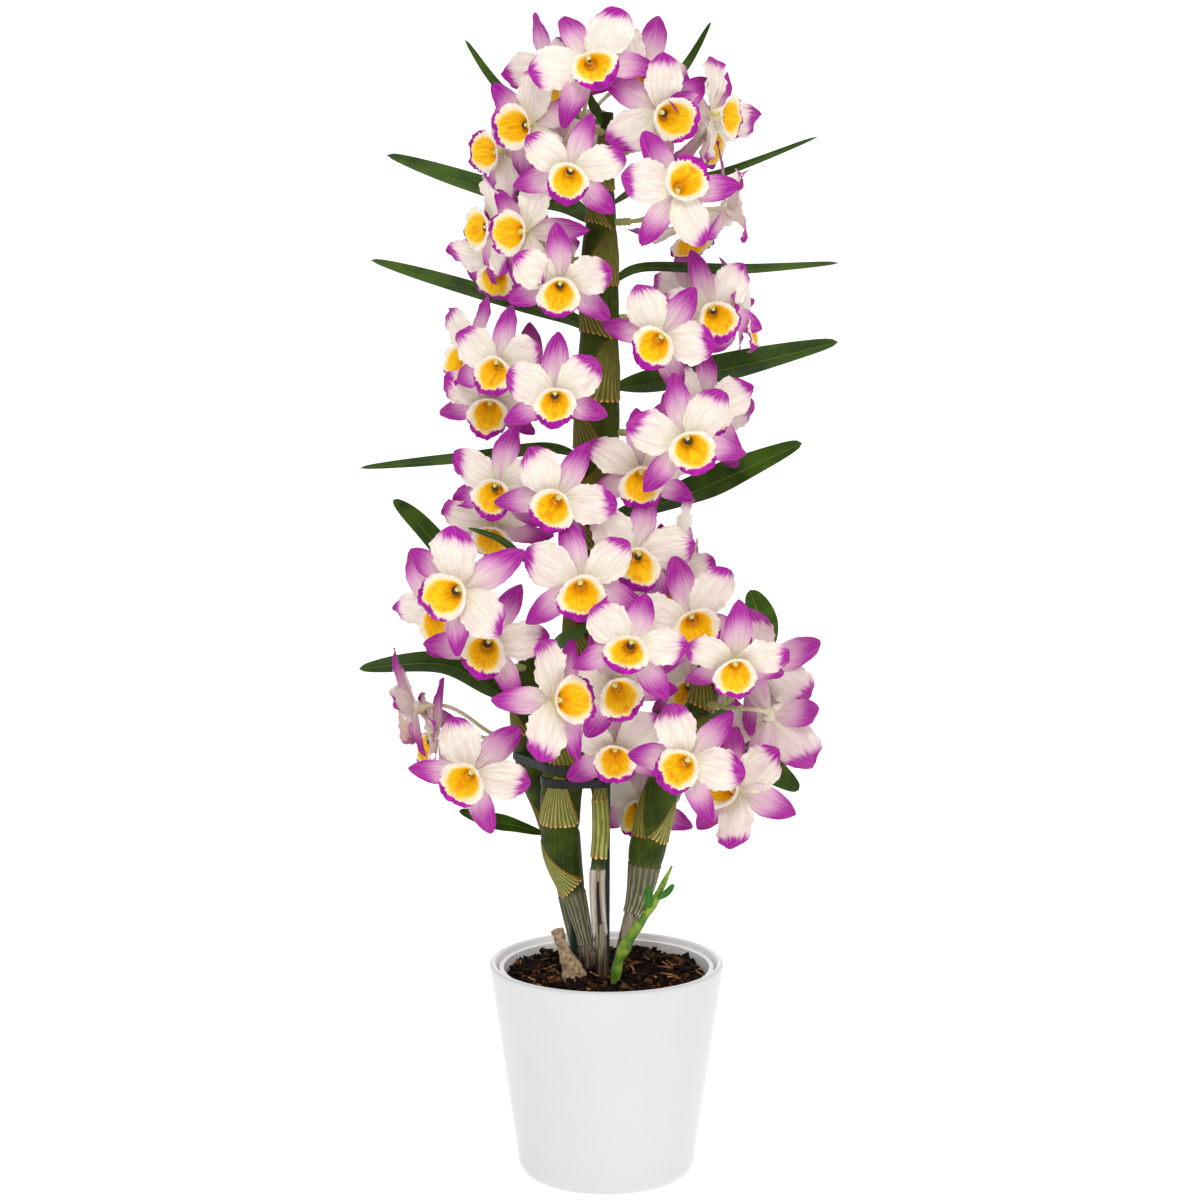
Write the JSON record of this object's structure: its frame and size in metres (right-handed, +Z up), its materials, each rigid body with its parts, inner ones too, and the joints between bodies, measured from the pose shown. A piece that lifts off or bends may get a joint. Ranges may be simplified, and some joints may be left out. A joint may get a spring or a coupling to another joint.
{
  "type": "dendrobium orchid in pot",
  "caption": "Flowering noble dendrobium orchid with upright leafy canes, short sprays of white and purple blooms with yellow throats, in bark in a white round pot.",
  "frame": {"origin": "middle of the pot's flat underside", "axes": "+Z up, -Y towards the viewer of the plant's best side, +X to that viewer's right"},
  "size_m": [0.2816, 0.1833, 0.6765],
  "materials": {
    "glaze": "glossy white glaze",
    "liner": "satin white plastic",
    "bark": "rough dark bark chips",
    "cane": "satin green skin under papery ribbed sheaths",
    "dry_cane": "dry papery skin",
    "shoot": "soft bright green skin",
    "leaf": "satin leathery leaf",
    "petal": "soft sparkling petal, white with purple tips, lip with a yellow throat",
    "stake": "dark green plastic"
  },
  "bodies": {
    "root": {"bark_mix": "bark", "cachepot": "glaze", "cane_centre": "cane", "cane_left": "cane", "cane_main": "cane", "cane_right": "cane", "grow_pot": "liner", "leaf_01": "leaf", "leaf_02": "leaf", "leaf_03": "leaf", "leaf_04": "leaf", "leaf_05": "leaf", "leaf_06": "leaf", "leaf_07": "leaf", "leaf_08": "leaf", "leaf_09": "leaf", "leaf_10": "leaf", "leaf_11": "leaf", "leaf_12": "leaf", "leaf_13": "leaf", "leaf_14": "leaf", "leaf_15": "leaf", "leaf_16": "leaf", "leaf_17": "leaf", "leaf_18": "leaf", "new_shoot": "shoot", "old_stump": "dry_cane", "spray_01": "petal", "spray_02": "petal", "spray_03": "petal", "spray_04": "petal", "spray_05": "petal", "spray_06": "petal", "spray_07": "petal", "spray_08": "petal", "spray_09": "petal", "spray_10": "petal", "spray_11": "petal", "spray_12": "petal", "spray_13": "petal", "spray_14": "petal", "spray_15": "petal", "spray_16": "petal", "spray_17": "petal", "spray_18": "petal", "stake_left": "stake", "stake_middle": "stake", "tie_left": "stake", "tie_right": "stake"}
  },
  "joints": []
}
